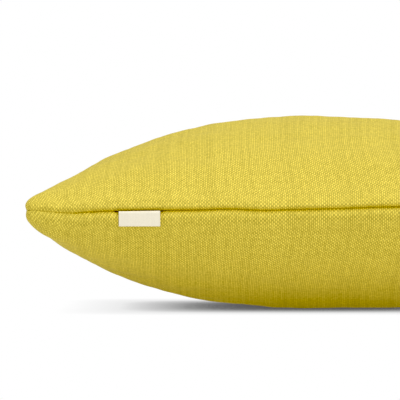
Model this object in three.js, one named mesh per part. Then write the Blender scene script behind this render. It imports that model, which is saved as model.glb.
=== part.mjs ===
// A filled square cushion cover that lies on its back, with a woven label caught in its front seam.
// Millimetres, +Z up. The origin is the middle of the flat spot that it rests on. -Y is the front.

import * as THREE from 'three';

// Plan of the cover
const CORNER_REACH = 223;       // from the middle to a side, measured at the corners, before rounding
const SIDE_DRAW_IN = 16;        // how much nearer the middle of each side lies
const CORNER_RADIUS = 18;       // rounding of the cut corners
const SEAM_HEIGHT = 77;         // of the seam above the surface, before its waves
const SEAM_GROOVE = 2;          // how far the seam sinks in between the two rolled edges

// Crown of each panel. rise is its height over the seam. The curve from the seam to the middle adds a
// broad slope, flatter on top the larger fullness is, and a tight roll beside the seam. rollShare is the
// roll's part of the height, and the roll is the steeper the smaller its power is.
const CROWNS = {
  upper: { rise: 74, fullness: 2.5, rollShare: 0.21, rollPower: 0.22 },
  lower: { rise: -78, fullness: 2.75, rollShare: 0.37, rollPower: 0.36 },
};
const HIP_SHARPNESS = 1.8;      // how clearly the diagonal ridges show between neighbouring sides

// Soft waves of the seam line. along runs from -1 to 1 over a side, lift and spread are the height and
// half width of one wave: lift in millimetres, spread in the units of along.
const SEAM_WAVES = [
  { side: 'front', along: -0.86, lift: -2.3, spread: 0.085 },
  { side: 'front', along: -0.75, lift: -0.6, spread: 0.16 },
  { side: 'front', along: -0.33, lift: 0.75, spread: 0.085 },
  { side: 'front', along: -0.205, lift: -0.4, spread: 0.045 },
  { side: 'front', along: 0.38, lift: 3.15, spread: 0.38 },
  { side: 'right', along: -0.45, lift: -1.2, spread: 0.25 },
  { side: 'right', along: 0.30, lift: 1.6, spread: 0.30 },
  { side: 'back', along: 0.70, lift: -1.5, spread: 0.14 },
  { side: 'back', along: -0.15, lift: 1.8, spread: 0.35 },
  { side: 'left', along: 0.50, lift: -1.3, spread: 0.20 },
  { side: 'left', along: -0.20, lift: 1.4, spread: 0.30 },
];

// Side label
const LABEL_LEFT = -152.3;      // x of its left edge
const LABEL_WIDTH = 30.2;
const LABEL_DROP = 11;          // from the seam to its lower edge
const LABEL_THICKNESS = 1;      // a folded ribbon, two layers
const LABEL_GAP = 0.65;         // to the panel behind it, measured straight forward
const LABEL_TOP = 0.6;          // from the seam to its upper edge
const LABEL_COLUMNS = 4;
const LABEL_ROWS = 8;

const CELLS = 36;               // grid cells along each side of a panel

const clothMaterial = new THREE.MeshStandardMaterial({ color: 0xd6c342, roughness: 0.95, metalness: 0 });
const labelMaterial = new THREE.MeshStandardMaterial({ color: 0xefeae0, roughness: 0.6, metalness: 0 });

// Grid lines crowd towards the seam, where the cloth curves most.
const gridLine = (step) => Math.sin((Math.PI / 2) * ((2 * step) / CELLS - 1));

// Distance from the middle to a side, at a place from -1 to 1 along it.
const sideReach = (along) => CORNER_REACH - SIDE_DRAW_IN * (1 - along * along);

// Moves a plan point beyond the corner's centre of rounding onto a round quarter.
function roundCorner(x, y) {
  const centre = CORNER_REACH - CORNER_RADIUS;
  const a = (Math.abs(x) - centre) / CORNER_RADIUS;
  const b = (Math.abs(y) - centre) / CORNER_RADIUS;
  if (a <= 0 || b <= 0) return [x, y];
  const roundA = a * Math.sqrt(1 - (b * b) / 2);
  const roundB = b * Math.sqrt(1 - (a * a) / 2);
  return [
    Math.sign(x) * (centre + roundA * CORNER_RADIUS),
    Math.sign(y) * (centre + roundB * CORNER_RADIUS),
  ];
}

// Lift of the seam line at grid place u, v. Each side's waves fade out towards the opposite side.
function seamLift(u, v) {
  const places = {
    front: { along: u, near: (1 - v) / 2 },
    back: { along: u, near: (1 + v) / 2 },
    left: { along: v, near: (1 - u) / 2 },
    right: { along: v, near: (1 + u) / 2 },
  };
  let lift = 0;
  for (const wave of SEAM_WAVES) {
    const { along, near } = places[wave.side];
    const offset = (along - wave.along) / wave.spread;
    lift += wave.lift * near * Math.exp(-offset * offset) * (1 - along ** 8);
  }
  return lift;
}

// Height of the crown over one line across, from 0 at the seam to 1 in the middle.
function crownShare(along, crown) {
  const inward = Math.max(0, 1 - Math.abs(along) ** crown.fullness);
  return (1 - crown.rollShare) * inward + crown.rollShare * inward ** crown.rollPower;
}

// A point of one panel. u and v run from -1 to 1 between the seams.
function panelPoint(u, v, crown) {
  const onSeam = Math.max(Math.abs(u), Math.abs(v)) === 1;
  const groove = onSeam ? (CORNER_REACH - SEAM_GROOVE) / CORNER_REACH : 1;
  const [x, y] = roundCorner(u * sideReach(v), v * sideReach(u));
  const seam = SEAM_HEIGHT + seamLift(u, v);
  if (onSeam) return new THREE.Vector3(x * groove, y * groove, seam);
  const across = crownShare(u, crown) ** -HIP_SHARPNESS;
  const deep = crownShare(v, crown) ** -HIP_SHARPNESS;
  const share = (across + deep - 1) ** (-1 / HIP_SHARPNESS);
  const crownHeight = SEAM_HEIGHT + crown.rise;
  const height = seam + (crownHeight - seam) * share;
  return new THREE.Vector3(x, y, Math.max(0, height));
}

// A closed mesh from a list of points and a list of four-cornered faces, wound to face outwards.
function closedGeometry(points, quads) {
  const geometry = new THREE.BufferGeometry();
  const coordinates = points.flatMap((point) => [point.x, point.y, point.z]);
  geometry.setAttribute('position', new THREE.Float32BufferAttribute(coordinates, 3));
  geometry.setIndex(quads.flatMap(([a, b, c, d]) => [a, b, c, a, c, d]));
  geometry.computeVertexNormals();
  return geometry;
}

// The upper and lower panels as one filled body. They share the points of the seam.
function filledCover() {
  const points = [];
  const quads = [];
  const upper = new Map();
  for (const [name, crown] of Object.entries(CROWNS)) {
    const places = new Map();
    for (let row = 0; row <= CELLS; row += 1) {
      for (let column = 0; column <= CELLS; column += 1) {
        const key = row * (CELLS + 1) + column;
        const onSeam = row % CELLS === 0 || column % CELLS === 0;
        if (name === 'lower' && onSeam) {
          places.set(key, upper.get(key));
          continue;
        }
        places.set(key, points.length);
        if (name === 'upper') upper.set(key, points.length);
        points.push(panelPoint(gridLine(column), gridLine(row), crown));
      }
    }
    for (let row = 0; row < CELLS; row += 1) {
      for (let column = 0; column < CELLS; column += 1) {
        const key = row * (CELLS + 1) + column;
        const ring = [key, key + 1, key + CELLS + 2, key + CELLS + 1].map((k) => places.get(k));
        quads.push(name === 'upper' ? ring : ring.reverse());
      }
    }
  }
  return closedGeometry(points, quads);
}

// Where the lower panel's front face lies at plan place x and a drop below the seam, on its grid lines.
function frontFace(x, drop) {
  const u = x / CORNER_REACH;
  let above = panelPoint(u, gridLine(0), CROWNS.lower);
  const level = above.z - drop;
  for (let step = 1; step <= CELLS / 2; step += 1) {
    const below = panelPoint(u, gridLine(step), CROWNS.lower);
    if (below.z <= level) {
      const share = (above.z - level) / (above.z - below.z);
      return { y: above.y + share * (below.y - above.y), z: level };
    }
    above = below;
  }
  throw new Error('the label reaches below the panel');
}

// The label: a thin body that follows the lower panel down from the seam.
function sideLabel() {
  const points = [];
  const rowLength = LABEL_ROWS + 1;
  for (const depth of [LABEL_GAP, LABEL_GAP + LABEL_THICKNESS]) {
    for (let column = 0; column <= LABEL_COLUMNS; column += 1) {
      const x = LABEL_LEFT + (LABEL_WIDTH * column) / LABEL_COLUMNS;
      for (let row = 0; row <= LABEL_ROWS; row += 1) {
        const drop = LABEL_TOP + ((LABEL_DROP - LABEL_TOP) * row) / LABEL_ROWS;
        const { y, z } = frontFace(x, drop);
        points.push(new THREE.Vector3(x, y - depth, z));
      }
    }
  }
  const facePoints = (LABEL_COLUMNS + 1) * rowLength;
  const back = (column, row) => column * rowLength + row;
  const front = (column, row) => facePoints + back(column, row);
  const quads = [];
  for (let column = 0; column < LABEL_COLUMNS; column += 1) {
    const next = column + 1;
    for (let row = 0; row < LABEL_ROWS; row += 1) {
      quads.push([front(column, row), front(column, row + 1), front(next, row + 1), front(next, row)]);
      quads.push([back(column, row), back(next, row), back(next, row + 1), back(column, row + 1)]);
    }
    quads.push([back(column, 0), front(column, 0), front(next, 0), back(next, 0)]);
    const end = LABEL_ROWS;
    quads.push([back(column, end), back(next, end), front(next, end), front(column, end)]);
  }
  for (let row = 0; row < LABEL_ROWS; row += 1) {
    const end = LABEL_COLUMNS;
    quads.push([back(0, row), back(0, row + 1), front(0, row + 1), front(0, row)]);
    quads.push([back(end, row), front(end, row), front(end, row + 1), back(end, row + 1)]);
  }
  return closedGeometry(points, quads);
}

function namedMesh(name, geometry, material) {
  const mesh = new THREE.Mesh(geometry, material);
  mesh.name = name;
  return mesh;
}

const cushion = new THREE.Group();
cushion.add(namedMesh('filled_cover', filledCover(), clothMaterial));
cushion.add(namedMesh('side_label', sideLabel(), labelMaterial));

export default cushion;
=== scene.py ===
"""A filled square cushion cover on its back, with a woven label caught in its front seam.

Everything is in metres, +Z up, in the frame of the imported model. -Y is the front.
"""

import logging
import math
from dataclasses import dataclass, field
from enum import Enum
from typing import Any, Union

import bpy
import numpy as np
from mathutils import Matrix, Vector
from mathutils.bvhtree import BVHTree


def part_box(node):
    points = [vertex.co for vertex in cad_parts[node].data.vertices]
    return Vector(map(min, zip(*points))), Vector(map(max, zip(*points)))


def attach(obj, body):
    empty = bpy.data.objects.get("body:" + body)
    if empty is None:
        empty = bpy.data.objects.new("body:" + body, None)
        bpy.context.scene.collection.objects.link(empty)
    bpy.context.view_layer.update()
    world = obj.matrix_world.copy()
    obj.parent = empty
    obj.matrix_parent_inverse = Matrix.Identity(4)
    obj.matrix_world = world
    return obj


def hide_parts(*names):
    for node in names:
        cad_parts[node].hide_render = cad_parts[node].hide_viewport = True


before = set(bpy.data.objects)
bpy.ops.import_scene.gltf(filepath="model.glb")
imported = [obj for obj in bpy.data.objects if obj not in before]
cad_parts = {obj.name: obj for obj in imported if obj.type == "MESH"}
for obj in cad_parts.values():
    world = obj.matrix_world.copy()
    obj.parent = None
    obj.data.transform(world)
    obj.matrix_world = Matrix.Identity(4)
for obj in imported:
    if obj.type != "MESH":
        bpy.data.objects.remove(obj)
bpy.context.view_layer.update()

log = logging.getLogger("cushion")

Array = np.ndarray
Socket = bpy.types.NodeSocket
Value = Union[Socket, float]
Colour = tuple[float, float, float]

MM = 0.001
TINY = 1e-9
WHITE = (1.0, 1.0, 1.0, 1.0)
BLACK = (0.0, 0.0, 0.0, 1.0)
BODY = "root"
COVER_NODE = "filled_cover"
LABEL_NODE = "side_label"
BAKE_MAP = "OFBake"


class Panel(Enum):
    """The two panels of the cover, each with the sign of its height over the seam."""

    UPPER = 1
    LOWER = -1


class Edge(Enum):
    """The four sides of the cover, seen from above."""

    FRONT = "front"
    RIGHT = "right"
    BACK = "back"
    LEFT = "left"

    def places(self, u: Array, v: Array) -> tuple[Array, Array]:
        """Grid places as this edge has them.

        Args:
            u: Grid places along X.
            v: Grid places along Y.

        Returns:
            Places along the edge from -1 to 1, and how near they are, 1 on the edge and 0 opposite.
        """
        return {
            Edge.FRONT: (u, (1 - v) / 2),
            Edge.BACK: (u, (1 + v) / 2),
            Edge.LEFT: (v, (1 - u) / 2),
            Edge.RIGHT: (v, (1 + u) / 2),
        }[self]


@dataclass(frozen=True)
class Crown:
    """How one panel rises from the seam to its middle.

    The curve adds a broad slope, flatter on top the larger fullness is, and a tight roll beside the
    seam. roll_share is the roll's part of the height, and the roll is the steeper the smaller
    roll_power is.
    """

    rise: float
    fullness: float
    roll_share: float
    roll_power: float

    def share(self, along: Array) -> Array:
        """Part of the rise that one line across has reached.

        Args:
            along: Places from -1 to 1 between two seams.

        Returns:
            0 at the seams and 1 in the middle.
        """
        inward = np.clip(1 - np.abs(along) ** self.fullness, 0, 1)
        return (1 - self.roll_share) * inward + self.roll_share * inward**self.roll_power


@dataclass(frozen=True)
class SeamWave:
    """One soft wave of the seam line: its place along an edge from -1 to 1, lift and half width."""

    edge: Edge
    along: float
    lift: float
    spread: float

    def lift_at(self, u: Array, v: Array) -> Array:
        """Lift of the seam by this wave, which fades out near the corners and towards the other edge.

        Args:
            u: Grid places along X.
            v: Grid places along Y.

        Returns:
            Heights in metres.
        """
        corner_fade = 8
        along, near = self.edge.places(u, v)
        offset = (along - self.along) / self.spread
        return self.lift * near * np.exp(-(offset**2)) * (1 - along**corner_fade)


SEAM_WAVES = (
    SeamWave(Edge.FRONT, along=-0.86, lift=-2.3 * MM, spread=0.085),
    SeamWave(Edge.FRONT, along=-0.75, lift=-0.6 * MM, spread=0.16),
    SeamWave(Edge.FRONT, along=-0.33, lift=0.75 * MM, spread=0.085),
    SeamWave(Edge.FRONT, along=-0.205, lift=-0.4 * MM, spread=0.045),
    SeamWave(Edge.FRONT, along=0.38, lift=3.15 * MM, spread=0.38),
    SeamWave(Edge.RIGHT, along=-0.45, lift=-1.2 * MM, spread=0.25),
    SeamWave(Edge.RIGHT, along=0.30, lift=1.6 * MM, spread=0.30),
    SeamWave(Edge.BACK, along=0.70, lift=-1.5 * MM, spread=0.14),
    SeamWave(Edge.BACK, along=-0.15, lift=1.8 * MM, spread=0.35),
    SeamWave(Edge.LEFT, along=0.50, lift=-1.3 * MM, spread=0.20),
    SeamWave(Edge.LEFT, along=-0.20, lift=1.4 * MM, spread=0.30),
)


@dataclass(frozen=True)
class CoverForm:
    """The outer form of the filled cover, over a grid of places u, v from -1 to 1 between the seams."""

    corner_reach: float
    top: float
    seam_height: float = 77 * MM
    side_draw_in: float = 16 * MM
    corner_radius: float = 18 * MM
    hip_sharpness: float = 1.8
    below_floor: float = 1 * MM

    @classmethod
    def from_frame(cls) -> "CoverForm":
        """Takes the form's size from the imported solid's box.

        Returns:
            The form.
        """
        corner_trim = 2.95 * MM  # what rounding and the seam's groove take off a corner
        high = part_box(COVER_NODE)[1]
        return cls(corner_reach=high.x + corner_trim, top=high.z)

    def crown(self, panel: Panel) -> Crown:
        """The crown of a panel. The lower one would end just below the floor, so it has a flat spot.

        Args:
            panel: The panel.

        Returns:
            Its crown.
        """
        if panel is Panel.UPPER:
            return Crown(self.top - self.seam_height, fullness=2.5, roll_share=0.21, roll_power=0.22)
        depth = self.seam_height + self.below_floor
        return Crown(-depth, fullness=2.75, roll_share=0.37, roll_power=0.36)

    def plan(self, u: Array, v: Array) -> tuple[Array, Array]:
        """Plan position of grid places, with the sides drawn in and the corners rounded.

        Args:
            u: Grid places along X.
            v: Grid places along Y.

        Returns:
            x and y in metres.
        """
        x = u * (self.corner_reach - self.side_draw_in * (1 - v**2))
        y = v * (self.corner_reach - self.side_draw_in * (1 - u**2))
        centre = self.corner_reach - self.corner_radius
        a = np.clip((np.abs(x) - centre) / self.corner_radius, 0, None)
        b = np.clip((np.abs(y) - centre) / self.corner_radius, 0, None)
        in_corner = (a > 0) & (b > 0)
        round_x = np.sign(x) * (centre + a * np.sqrt(1 - b**2 / 2) * self.corner_radius)
        round_y = np.sign(y) * (centre + b * np.sqrt(1 - a**2 / 2) * self.corner_radius)
        return np.where(in_corner, round_x, x), np.where(in_corner, round_y, y)

    def seam_level(self, u: Array, v: Array) -> Array:
        """Height of the seam line, waves included, carried inwards over the grid."""
        return self.seam_height + sum(wave.lift_at(u, v) for wave in SEAM_WAVES)

    def surface(self, u: Array, v: Array, panel: Panel) -> Array:
        """Points of one panel.

        Args:
            u: Grid places along X.
            v: Grid places along Y.
            panel: The panel.

        Returns:
            One more axis than u and v, with x, y and z.
        """
        crown = self.crown(panel)
        across = np.maximum(crown.share(u), TINY) ** -self.hip_sharpness
        deep = np.maximum(crown.share(v), TINY) ** -self.hip_sharpness
        share = (across + deep - 1) ** (-1 / self.hip_sharpness)
        on_seam = np.maximum(np.abs(u), np.abs(v)) >= 1
        share = np.where(on_seam, 0, share)
        level = self.seam_level(u, v)
        height = level + (self.seam_height + crown.rise - level) * share
        x, y = self.plan(u, v)
        return np.stack([x, y, np.maximum(height, 0)], axis=-1)

    def cloth_lines(self, count: int) -> Array:
        """Grid places that lie evenly along the cloth of the upper panel's middle line.

        Args:
            count: How many places.

        Returns:
            The places, from -1 to 1.
        """
        measured = 4001
        fine = np.sin(np.linspace(-1, 1, measured) * math.pi / 2)
        line = self.surface(fine, np.zeros_like(fine), Panel.UPPER)
        arc = run_along(line)
        return np.interp(np.linspace(0, arc[-1], count), arc, fine)


@dataclass(frozen=True)
class SettledCloth:
    """How far each place of the two panels moved when the cloth settled, on an even grid of the cloth."""

    lines: Array
    moves: dict[Panel, Array]

    @classmethod
    def unmoved(cls, form: CoverForm) -> "SettledCloth":
        """Args:
            form: The outer form.

        Returns:
            Moves of 0 on the fewest lines.
        """
        count = 3
        still = np.zeros((count, count, 3))
        return cls(form.cloth_lines(count), {panel: still for panel in Panel})

    def weights(self, places: Array) -> Array:
        """Smooth blending weights from the even lines to any places.

        Args:
            places: Grid places from -1 to 1.

        Returns:
            One row of weights for each place, one column for each line.
        """
        count = len(self.lines)
        steps = np.interp(places, self.lines, np.arange(count))
        first = np.minimum(np.floor(steps).astype(int), count - 2)
        t = steps - first
        blend = ((1 - t) ** 3, 3 * t**3 - 6 * t**2 + 4, 3 * (1 - t) ** 3 - 6 * (1 - t) ** 2 + 4, t**3)
        padded = np.zeros((len(places), count + 2))
        rows = np.arange(len(places))
        for offset, share in enumerate(blend):
            padded[rows, first + offset] += share / 6
        weights = padded[:, 1:-1].copy()
        # The line past each end mirrors the one inside it, so the seam's own moves are kept as they are.
        weights[:, 0] += 2 * padded[:, 0]
        weights[:, 1] -= padded[:, 0]
        weights[:, -1] += 2 * padded[:, -1]
        weights[:, -2] -= padded[:, -1]
        return weights

    def move_at(self, panel: Panel, rows: Array, columns: Array) -> Array:
        """Moves at every crossing of the given grid rows and columns."""
        return np.einsum("ri,ijk,cj->rck", self.weights(rows), self.moves[panel], self.weights(columns))


@dataclass(frozen=True)
class ClothSettling:
    """Lets the two sewn panels settle under the filling's pressure with Blender's Cloth.

    What is kept of their moves is the uneven part, capped, and faded out towards the seam.
    """

    cells: int = 64
    frames: int = 12
    quality: int = 6
    pressure: float = 0.8
    weight: float = 0.3
    stretch_stiffness: float = 30
    shear_stiffness: float = 5
    bending_stiffness: float = 0.5
    damping: float = 5
    most_move: float = 6 * MM
    unevenness: float = 0.35 * MM
    held_near_seam: float = 0.07
    evening_steps: int = 120
    seed: int = 11

    def closed_mesh(self, form: CoverForm) -> tuple[Array, list[list[int]], dict[Panel, Array]]:
        """Both panels as one closed mesh that share the points of the seam.

        Args:
            form: The outer form, on which the cloth starts.

        Returns:
            The points, the faces, and each panel's table of point numbers.
        """
        lines = form.cloth_lines(self.cells + 1)
        u, v = np.meshgrid(lines, lines)
        side = self.cells + 1
        upper = np.arange(side * side).reshape(side, side)
        lower = upper.copy()
        inner = (side - 2) ** 2
        lower[1:-1, 1:-1] = side * side + np.arange(inner).reshape(side - 2, side - 2)
        points = np.concatenate(
            [
                form.surface(u, v, Panel.UPPER).reshape(-1, 3),
                form.surface(u, v, Panel.LOWER)[1:-1, 1:-1].reshape(-1, 3),
            ]
        )
        faces = grid_quads(upper).tolist() + grid_quads(lower)[:, ::-1].tolist()
        return points, faces, {Panel.UPPER: upper, Panel.LOWER: lower}

    def add_cloth(self, ob: bpy.types.Object) -> None:
        """Adds the Cloth modifier with this cover's stiffness, pressure and no gravity.

        Args:
            ob: The closed mesh of both panels.
        """
        cloth = ob.modifiers.new("settling", "CLOTH")
        settings = cloth.settings
        settings.quality = self.quality
        settings.mass = self.weight
        settings.tension_stiffness = self.stretch_stiffness
        settings.compression_stiffness = self.stretch_stiffness
        settings.shear_stiffness = self.shear_stiffness
        settings.bending_stiffness = self.bending_stiffness
        settings.tension_damping = self.damping
        settings.compression_damping = self.damping
        settings.shear_damping = self.damping
        settings.air_damping = self.damping
        settings.use_pressure = True
        settings.uniform_pressure_force = self.pressure
        settings.effector_weights.gravity = 0
        cloth.collision_settings.use_collision = False
        cloth.point_cache.frame_start = 1
        cloth.point_cache.frame_end = self.frames + 1

    def run(self, form: CoverForm) -> SettledCloth:
        """Settles the cloth and measures how far it moved.

        Args:
            form: The outer form, on which the cloth starts.

        Returns:
            The capped moves of both panels.
        """
        points, faces, tables = self.closed_mesh(form)
        rng = np.random.default_rng(self.seed)
        start = points + rng.normal(0, self.unevenness, points.shape)
        mesh = bpy.data.meshes.new("settling")
        mesh.from_pydata(start.tolist(), [], faces)
        ob = bpy.data.objects.new("settling", mesh)
        scene = bpy.context.scene
        scene.collection.objects.link(ob)
        self.add_cloth(ob)
        scene.frame_start, scene.frame_end = 1, self.frames + 1
        for step in range(1, self.frames + 2):
            scene.frame_set(step)
        settled = ob.evaluated_get(bpy.context.evaluated_depsgraph_get())
        found = np.empty(len(points) * 3, np.float32)
        settled.to_mesh().vertices.foreach_get("co", found)
        settled.to_mesh_clear()
        bpy.data.objects.remove(ob)
        bpy.data.meshes.remove(mesh)
        scene.frame_set(1)
        moves = found.reshape(-1, 3).astype(float) - points
        lengths = np.linalg.norm(moves, axis=1, keepdims=True)
        moves *= np.minimum(1, self.most_move / np.maximum(lengths, TINY))
        log.info("cloth settled: mean move %.2f mm, most %.2f mm", lengths.mean() / MM, lengths.max() / MM)
        lines = form.cloth_lines(self.cells + 1)
        u, v = np.meshgrid(lines, lines)
        inward = 1 - np.maximum(np.abs(u), np.abs(v))
        free = 1 - np.exp(-((inward / self.held_near_seam) ** 2))
        fields = {panel: self.unevenly(moves[table]) * free[..., None] for panel, table in tables.items()}
        return SettledCloth(lines, fields)

    def unevenly(self, moves: Array) -> Array:
        """What is uneven in the moves. The even swelling is in the form already, so it is taken off.

        Args:
            moves: Moves on the grid of one panel.

        Returns:
            The moves without their broad part.
        """
        even = moves.copy()
        for _ in range(self.evening_steps):
            ringed = np.pad(even, ((1, 1), (1, 1), (0, 0)), mode="edge")
            around = ringed[2:, 1:-1] + ringed[:-2, 1:-1] + ringed[1:-1, 2:] + ringed[1:-1, :-2]
            even = (even + around / 4) / 2
        return moves - even


def grid_quads(table: Array) -> Array:
    """Quads of a table of point numbers, wound to face up where rows run along Y and columns along X."""
    corners = (table[:-1, :-1], table[:-1, 1:], table[1:, 1:], table[1:, :-1])
    return np.stack(corners, axis=-1).reshape(-1, 4)


def border_of(table: Array) -> Array:
    """The border of a square table, counterclockwise from its first corner, each entry once."""
    return np.concatenate([table[0, :-1], table[:-1, -1], table[-1, :0:-1], table[:0:-1, 0]])


def unit(vectors: Array, shortest: float = 1e-12) -> Array:
    """The vectors at length 1."""
    return vectors / np.maximum(np.linalg.norm(vectors, axis=-1, keepdims=True), shortest)


def run_along(points: Array) -> Array:
    """Distance from the first point of a line to each of its points."""
    return np.concatenate([[0], np.cumsum(np.linalg.norm(np.diff(points, axis=0), axis=1))])


def new_object(name: str, points: Array, faces: list[Any]) -> bpy.types.Object:
    """A smooth-shaded mesh object at the origin.

    Args:
        name: The piece's name.
        points: Its points.
        faces: Its faces as lists of point numbers.

    Returns:
        The linked object.
    """
    mesh = bpy.data.meshes.new(name)
    mesh.from_pydata(points.tolist(), [], faces)
    mesh.polygons.foreach_set("use_smooth", [True] * len(mesh.polygons))
    mesh.update()
    ob = bpy.data.objects.new(name, mesh)
    bpy.context.scene.collection.objects.link(ob)
    return ob


def corner_values(mesh: bpy.types.Mesh, values: Array) -> Array:
    """What each face corner of a mesh has.

    Args:
        mesh: The mesh.
        values: One row for each of its points.

    Returns:
        One row for each face corner.
    """
    numbers = np.empty(len(mesh.loops), int)
    mesh.loops.foreach_get("vertex_index", numbers)
    return values[numbers]


def write_map(mesh: bpy.types.Mesh, at_corners: Array) -> None:
    """Writes a mesh's bake map from the coordinates of its face corners."""
    layer = mesh.uv_layers.new(name=BAKE_MAP, do_init=False)
    layer.uv.foreach_set("vector", at_corners.astype(np.float32).ravel())


def report_piece(ob: bpy.types.Object) -> None:
    """Logs a piece's name, triangles and size.

    Args:
        ob: The piece.
    """
    mesh = ob.data
    mesh.calc_loop_triangles()
    size = " x ".join(f"{length / MM:.1f}" for length in ob.dimensions)
    log.info("%s: %d triangles, %s mm", ob.name, len(mesh.loop_triangles), size)


@dataclass(frozen=True)
class SoftTrough:
    """A shallow dent or ridge that the hand left in a panel, as a turned oval on its grid.

    Positive depth sinks in. Angles are in degrees from the u direction.
    """

    panel: Panel
    u: float
    v: float
    length: float
    width: float
    turn: float
    depth: float

    def depth_at(self, u: Array, v: Array) -> Array:
        """Depth of this trough.

        Args:
            u: Grid places along X.
            v: Grid places along Y.

        Returns:
            Depths in metres.
        """
        angle = math.radians(self.turn)
        along = (u - self.u) * math.cos(angle) + (v - self.v) * math.sin(angle)
        aside = (v - self.v) * math.cos(angle) - (u - self.u) * math.sin(angle)
        return self.depth * np.exp(-((along / self.length) ** 2) - (aside / self.width) ** 2)


SOFT_TROUGHS = (
    SoftTrough(Panel.UPPER, u=-0.79, v=-0.92, length=0.12, width=0.030, turn=80, depth=0.9 * MM),
    SoftTrough(Panel.UPPER, u=-0.62, v=-0.91, length=0.15, width=0.032, turn=84, depth=1.2 * MM),
    SoftTrough(Panel.UPPER, u=-0.43, v=-0.89, length=0.17, width=0.034, turn=90, depth=1.3 * MM),
    SoftTrough(Panel.UPPER, u=-0.23, v=-0.90, length=0.16, width=0.032, turn=94, depth=1.2 * MM),
    SoftTrough(Panel.UPPER, u=-0.06, v=-0.92, length=0.13, width=0.034, turn=96, depth=1.1 * MM),
    SoftTrough(Panel.UPPER, u=-0.66, v=-0.72, length=0.20, width=0.050, turn=52, depth=0.9 * MM),
    SoftTrough(Panel.UPPER, u=0.30, v=-0.92, length=0.14, width=0.036, turn=86, depth=1.1 * MM),
    SoftTrough(Panel.UPPER, u=0.55, v=0.70, length=0.30, width=0.070, turn=130, depth=1.2 * MM),
    SoftTrough(Panel.UPPER, u=-0.30, v=0.92, length=0.15, width=0.034, turn=92, depth=1.2 * MM),
    SoftTrough(Panel.UPPER, u=0.12, v=0.90, length=0.17, width=0.036, turn=84, depth=1.1 * MM),
    SoftTrough(Panel.UPPER, u=0.91, v=-0.30, length=0.16, width=0.034, turn=4, depth=1.2 * MM),
    SoftTrough(Panel.UPPER, u=0.90, v=0.22, length=0.15, width=0.036, turn=-6, depth=1.1 * MM),
    SoftTrough(Panel.UPPER, u=-0.91, v=0.10, length=0.15, width=0.034, turn=5, depth=1.2 * MM),
    SoftTrough(Panel.UPPER, u=-0.90, v=-0.35, length=0.16, width=0.036, turn=-4, depth=1.0 * MM),
    SoftTrough(Panel.LOWER, u=0.08, v=-0.93, length=0.12, width=0.050, turn=60, depth=1.3 * MM),
    SoftTrough(Panel.LOWER, u=-0.16, v=-0.93, length=0.10, width=0.050, turn=60, depth=-1.2 * MM),
    SoftTrough(Panel.LOWER, u=-0.50, v=-0.90, length=0.12, width=0.045, turn=100, depth=0.9 * MM),
    SoftTrough(Panel.LOWER, u=-0.75, v=-0.88, length=0.16, width=0.050, turn=60, depth=0.8 * MM),
    SoftTrough(Panel.LOWER, u=0.60, v=0.90, length=0.22, width=0.050, turn=95, depth=1.1 * MM),
    SoftTrough(Panel.LOWER, u=0.92, v=0.15, length=0.14, width=0.045, turn=20, depth=1.1 * MM),
    SoftTrough(Panel.LOWER, u=-0.92, v=0.30, length=0.14, width=0.045, turn=-15, depth=1.1 * MM),
    SoftTrough(Panel.LOWER, u=-0.965, v=-0.965, length=0.030, width=0.030, turn=0, depth=1.3 * MM),
    SoftTrough(Panel.LOWER, u=-0.90, v=-0.95, length=0.050, width=0.040, turn=0, depth=-1.3 * MM),
    SoftTrough(Panel.LOWER, u=0.36, v=0.0, length=0.16, width=0.50, turn=0, depth=-1.8 * MM),
    SoftTrough(Panel.LOWER, u=-0.25, v=0.0, length=0.13, width=0.45, turn=0, depth=1.5 * MM),
)


@dataclass(frozen=True)
class SoftRelief:
    """Unevenness of the filling under the cloth: listed troughs over a low seeded swell."""

    swell: float = 0.30 * MM
    waves: int = 28
    shortest: float = 38 * MM
    longest: float = 110 * MM
    seam_fade: float = 0.02
    seed: int = 5

    def depth_at(self, u: Array, v: Array, cloth: Array, panel: Panel) -> Array:
        """How far the panel sinks in at its grid places.

        Args:
            u: Grid places along X.
            v: Grid places along Y.
            cloth: Places on the flat cloth, in metres.
            panel: The panel.

        Returns:
            Depths in metres, 0 at the seam.
        """
        rng = np.random.default_rng([self.seed, panel is Panel.UPPER])
        total = np.zeros(u.shape)
        for _ in range(self.waves):
            heading = rng.uniform(0, math.tau)
            turns = math.tau / rng.uniform(self.shortest, self.longest)
            phase = rng.uniform(0, math.tau)
            along = cloth[..., 0] * math.cos(heading) + cloth[..., 1] * math.sin(heading)
            total += np.cos(along * turns + phase)
        total *= self.swell * math.sqrt(2 / self.waves)
        total += sum(trough.depth_at(u, v) for trough in SOFT_TROUGHS if trough.panel is panel)
        inward = 1 - np.maximum(np.abs(u), np.abs(v))
        return total * (1 - np.exp(-inward / self.seam_fade))


@dataclass(frozen=True)
class TightStretch:
    """A stretch of an edge where the cloth is tighter at the seam than elsewhere."""

    edge: Edge
    along: float
    spread: float
    share: float

    def share_at(self, u: Array, v: Array) -> Array:
        """How tight this stretch makes the cloth at the border.

        Args:
            u: Border places along X.
            v: Border places along Y.

        Returns:
            0 to share, and 0 on the other edges.
        """
        nearly_on = 0.9995
        along, near = self.edge.places(u, v)
        tight = self.share * np.exp(-(((along - self.along) / self.spread) ** 2))
        return tight * (near > nearly_on)


TIGHT_STRETCHES = (
    TightStretch(Edge.FRONT, along=0.0, spread=0.52, share=1.0),
    TightStretch(Edge.FRONT, along=-0.95, spread=0.12, share=0.8),
    TightStretch(Edge.RIGHT, along=-0.30, spread=0.25, share=0.9),
    TightStretch(Edge.BACK, along=0.25, spread=0.30, share=0.9),
    TightStretch(Edge.LEFT, along=0.35, spread=0.28, share=0.9),
)


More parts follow.
